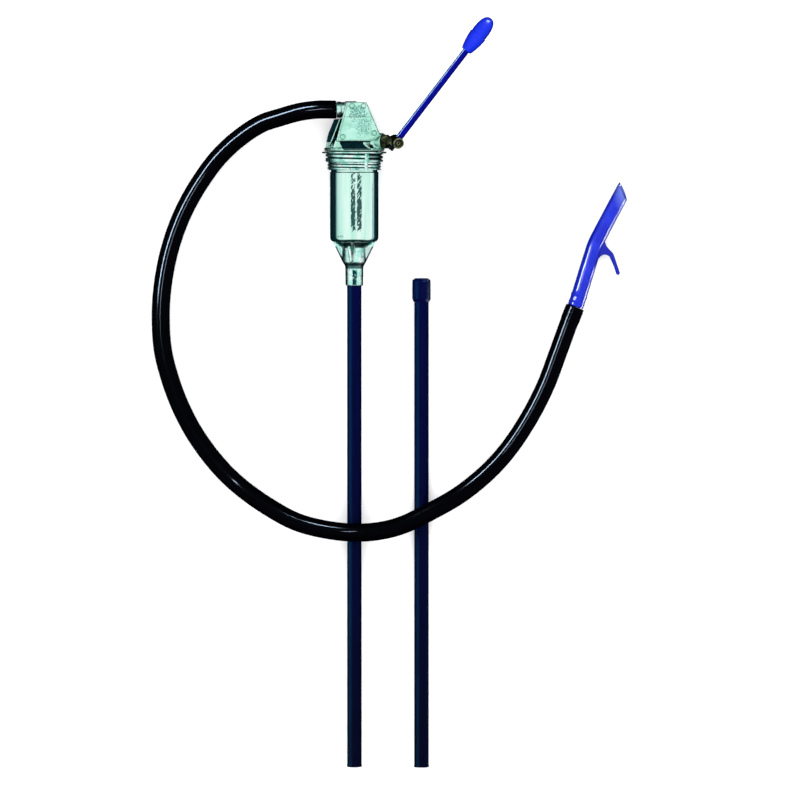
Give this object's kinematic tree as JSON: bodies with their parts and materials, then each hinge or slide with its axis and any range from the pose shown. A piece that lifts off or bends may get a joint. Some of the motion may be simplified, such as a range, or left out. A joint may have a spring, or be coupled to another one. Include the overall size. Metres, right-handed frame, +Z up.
{
  "type": "lever-operated drum pump",
  "caption": "Hand-lever piston pump for drums with a threaded drum collar, suction tube, loose extension tube and a discharge hose with a hooked spout, laid flat.",
  "frame": {"origin": "the head's flat back pad, on the surface that the pump lies on, level with the middle of the head", "axes": "+Y runs along the pump towards the head's top, +Z is up from the surface towards the head's cover, +X is towards the lever's side"},
  "size_m": [0.5322, 0.8378, 0.0741],
  "materials": {
    "cast_metal": "die-cast, fine grain",
    "turned_metal": "polished, with turning marks",
    "steel": "zinc-plated",
    "dark_steel": "oiled",
    "bronze": "satin",
    "seal_rubber": "matt",
    "hose_rubber": "gloss",
    "tube_plastic": "satin",
    "lever_paint": "semi-gloss",
    "grip_plastic": "semi-gloss",
    "spout_plastic": "translucent, gloss"
  },
  "bodies": {
    "root": {"head_housing": "cast_metal", "cover_gasket": "seal_rubber", "front_cover": "cast_metal", "cover_screw_1": "steel", "cover_screw_2": "steel", "cover_screw_3": "steel", "cover_screw_4": "steel", "bush_lock_screw": "dark_steel", "outlet_nozzle": "cast_metal", "collar_gasket": "seal_rubber", "thread_collar": "cast_metal", "pump_cylinder": "turned_metal", "foot_valve_seat": "bronze", "foot_valve_spring": "steel", "suction_tube": "tube_plastic", "inner_bush": "bronze", "outer_bush": "bronze", "shaft_packing": "seal_rubber", "gland_nut": "dark_steel", "hose": "hose_rubber", "spout": "spout_plastic", "extension_coupling": "tube_plastic", "extension_tube": "tube_plastic"},
    "lever": {"rocker_shaft": "dark_steel", "crank_arm": "steel", "crank_pin": "steel", "crank_set_screw": "steel", "hand_lever": "lever_paint", "lever_set_screw": "steel", "lever_grip": "grip_plastic"},
    "piston": {"piston_yoke": "steel", "piston_rod": "steel", "piston_body": "turned_metal", "piston_seal_upper": "seal_rubber", "piston_seal_lower": "seal_rubber", "piston_nut": "steel", "piston_valve_spring": "steel", "piston_spring_clip": "steel"},
    "piston_valve": {"piston_valve_disc": "bronze"},
    "foot_valve": {"foot_valve_disc": "steel", "foot_valve_clip": "steel"}
  },
  "joints": [
    {"name": "lever_swing", "type": "hinge", "parent": "root", "child": "lever", "pos_m": [0, -0.01419, 0.0365], "axis": [0.8988, -0.0176, 0.438], "range_deg": [0, 80]},
    {"name": "piston_slide", "type": "slide", "parent": "root", "child": "piston", "axis": [0, 0.9992, 0.0402], "range_m": [0, 0.0232]},
    {"name": "piston_valve_lift", "type": "slide", "parent": "piston", "child": "piston_valve", "axis": [0, 0.9992, 0.0402], "range_m": [0, 0.002], "stiffness_N_per_m": 60, "springref_m": -0.004, "deforming": ["piston_valve_spring"]},
    {"name": "foot_valve_lift", "type": "slide", "parent": "root", "child": "foot_valve", "axis": [0, 0.9992, 0.0402], "range_m": [0, 0.002], "stiffness_N_per_m": 60, "springref_m": -0.004, "deforming": ["foot_valve_spring"]}
  ],
  "couplings": [
    {"joint": "piston_slide", "follows": "lever_swing", "m_per_rad": 0.016573}
  ]
}
